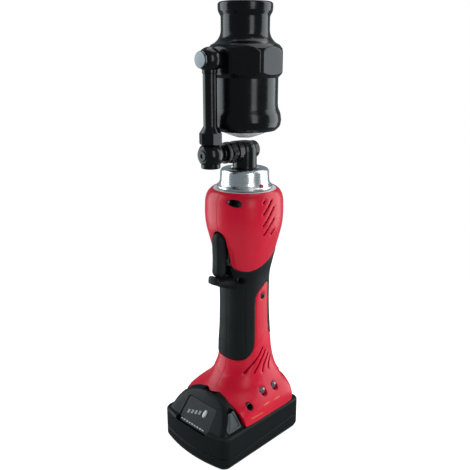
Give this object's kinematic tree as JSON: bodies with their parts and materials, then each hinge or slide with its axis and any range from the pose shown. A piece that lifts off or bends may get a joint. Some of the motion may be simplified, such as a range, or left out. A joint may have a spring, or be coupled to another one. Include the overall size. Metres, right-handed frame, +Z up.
{
  "type": "cordless hydraulic punch driver",
  "caption": "Battery-powered hydraulic punch driver: red pistol-less stick handle, swivel collar and jointed link carrying a black hydraulic cylinder with a draw-stud socket.",
  "frame": {"origin": "underside of the battery, below the axis of the handle", "axes": "+Z up the handle to the head, -Y is the front with the trigger and the battery gauge, +X is the side with the screws and status lights"},
  "size_m": [0.0768, 0.101, 0.367],
  "materials": {
    "red_shell": "satin moulded",
    "soft_grip": "matte soft touch",
    "charcoal_plastic": "fine textured",
    "gloss_black": "deep gloss",
    "polished_metal": "polished turned",
    "steel": "machined",
    "pale_ring": "satin",
    "lens": "clear smoke dome",
    "grey_plastic": "fine textured",
    "cell_wrap": "shrink wrap",
    "copper": "wound",
    "board": "lacquered",
    "seal_rubber": "matte",
    "mark_red": "flat"
  },
  "bodies": {
    "handle": {"housing_left": "red_shell", "housing_right": "red_shell", "grip_left": "soft_grip", "grip_right": "soft_grip", "housing_screw_1": "steel", "housing_screw_2": "steel", "housing_screw_3": "steel", "housing_screw_4": "steel", "housing_screw_5": "steel", "housing_screw_6": "steel", "housing_screw_7": "steel", "status_light_1": "lens", "status_light_2": "lens", "trigger_pin": "steel", "trigger_switch": "charcoal_plastic", "motor_can": "steel", "gearbox_housing": "steel", "pump_block": "steel", "pump_plunger": "polished_metal", "oil_bladder": "seal_rubber", "release_valve": "steel", "control_board": "board", "terminal_block": "charcoal_plastic", "collar_seal": "pale_ring"},
    "rotor": {"rotor": "copper"},
    "pump_drive": {"pump_cam": "steel"},
    "trigger": {"trigger": "soft_grip"},
    "swivel": {"collar": "polished_metal", "index_mark": "mark_red", "elbow": "gloss_black", "elbow_plug": "gloss_black", "elbow_rear_plug": "gloss_black", "arm_nut": "gloss_black", "arm_ring": "gloss_black"},
    "link": {"link_lower_ball": "gloss_black", "link_lower_plug": "grey_plastic", "link_rod": "gloss_black", "link_upper_ball": "gloss_black", "link_bolt": "steel"},
    "head": {"head_cylinder": "gloss_black", "end_cap": "polished_metal", "return_spring": "steel"},
    "ram": {"piston": "steel", "piston_seal": "seal_rubber"},
    "battery": {"battery_base": "charcoal_plastic", "battery_cover": "charcoal_plastic", "gauge_window": "charcoal_plastic", "cell_1": "cell_wrap", "cell_2": "cell_wrap", "cell_3": "cell_wrap", "cell_4": "cell_wrap", "cell_5": "cell_wrap"},
    "latch_left": {"latch_left": "grey_plastic"},
    "latch_right": {"latch_right": "grey_plastic"},
    "gauge_button": {"gauge_button": "grey_plastic"}
  },
  "joints": [
    {"name": "collar_swivel", "type": "hinge", "parent": "handle", "child": "swivel", "pos_m": [0, 0, 0.23], "axis": [0, 0, 1], "continuous": true},
    {"name": "link_swing", "type": "hinge", "parent": "swivel", "child": "link", "pos_m": [0, -0.0378, 0.2547], "axis": [0, 1, 0], "range_deg": [-65, 65]},
    {"name": "head_tilt", "type": "hinge", "parent": "link", "child": "head", "pos_m": [0, -0.0378, 0.325], "axis": [0, 1, 0], "continuous": true},
    {"name": "ram_slide", "type": "slide", "parent": "head", "child": "ram", "axis": [0, 0, -1], "range_m": [0, 0.018], "stiffness_N_per_m": 600, "springref_m": -0.01, "deforming": ["return_spring"]},
    {"name": "trigger_pull", "type": "hinge", "parent": "handle", "child": "trigger", "pos_m": [0, -0.0225, 0.187], "axis": [1, 0, 0], "range_deg": [0, 6], "stiffness_Nm_per_rad": 0.8, "springref_deg": -11.46},
    {"name": "motor_spin", "type": "hinge", "parent": "handle", "child": "rotor", "pos_m": [0, 0, 0.114], "axis": [0, 0, 1], "continuous": true},
    {"name": "pump_spin", "type": "hinge", "parent": "handle", "child": "pump_drive", "pos_m": [0, 0, 0.17], "axis": [0, 0, 1], "continuous": true},
    {"name": "battery_slide", "type": "slide", "parent": "handle", "child": "battery", "axis": [0, -1, 0], "range_m": [0, 0.1]},
    {"name": "latch_left_press", "type": "slide", "parent": "battery", "child": "latch_left", "axis": [1, 0, 0], "range_m": [0, 0.0025], "stiffness_N_per_m": 900, "springref_m": -0.001},
    {"name": "latch_right_press", "type": "slide", "parent": "battery", "child": "latch_right", "axis": [-1, 0, 0], "range_m": [0, 0.0025], "stiffness_N_per_m": 900, "springref_m": -0.001},
    {"name": "gauge_button_press", "type": "slide", "parent": "battery", "child": "gauge_button", "axis": [0, 0.8078, -0.5895], "range_m": [0, 0.0008], "stiffness_N_per_m": 900, "springref_m": -0.001}
  ],
  "couplings": [
    {"joint": "pump_spin", "follows": "motor_spin", "ratio": 0.25}
  ]
}
